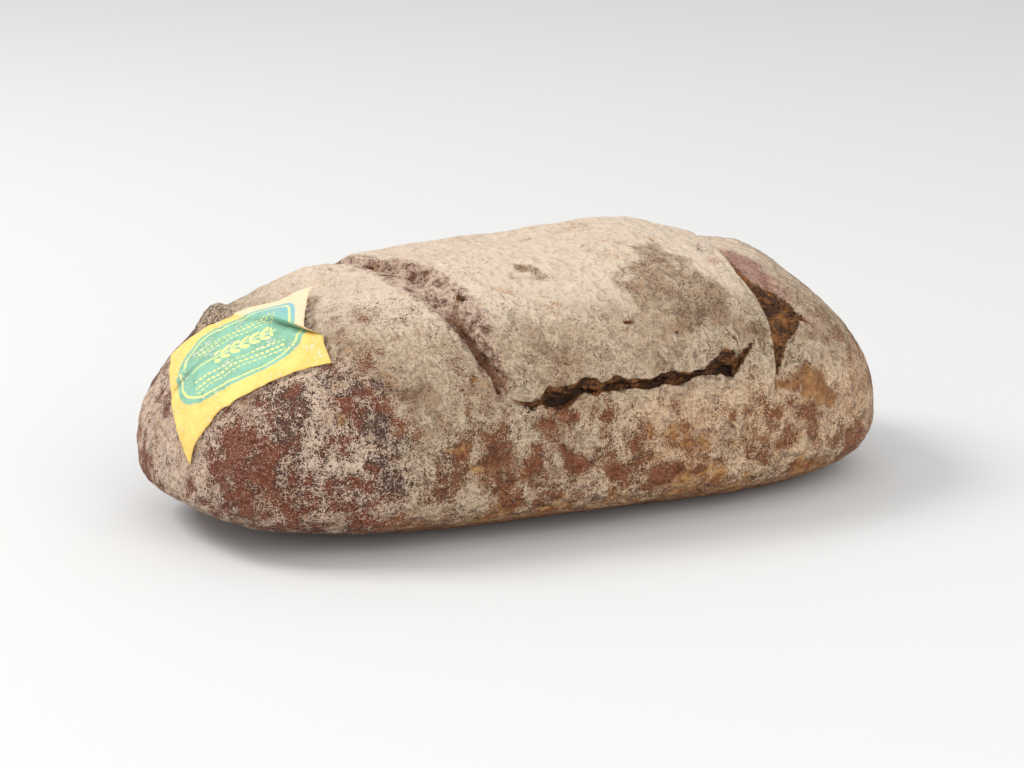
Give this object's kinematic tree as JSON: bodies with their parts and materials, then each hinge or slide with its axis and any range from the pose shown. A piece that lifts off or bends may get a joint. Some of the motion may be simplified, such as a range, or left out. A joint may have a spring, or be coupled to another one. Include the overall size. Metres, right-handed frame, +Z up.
{
  "type": "rye bread loaf",
  "caption": "Long oval rye loaf under a coat of flour, its crust torn into a raised slab, with a crumpled paper label stuck on one shoulder.",
  "frame": {"origin": "on the surface the loaf lies on, under the middle of its bounding box", "axes": "+X along the loaf from the labelled end to the plain end, +Y from the front with the long crack to the back, +Z up"},
  "size_m": [0.3292, 0.1666, 0.1127],
  "materials": {
    "floured_crust": "dry matte crust, dusted with pale flour over brown",
    "yellow_paper": "thin matte printed paper"
  },
  "bodies": {
    "root": {"bread_loaf": "floured_crust", "paper_label": "yellow_paper"}
  },
  "joints": []
}
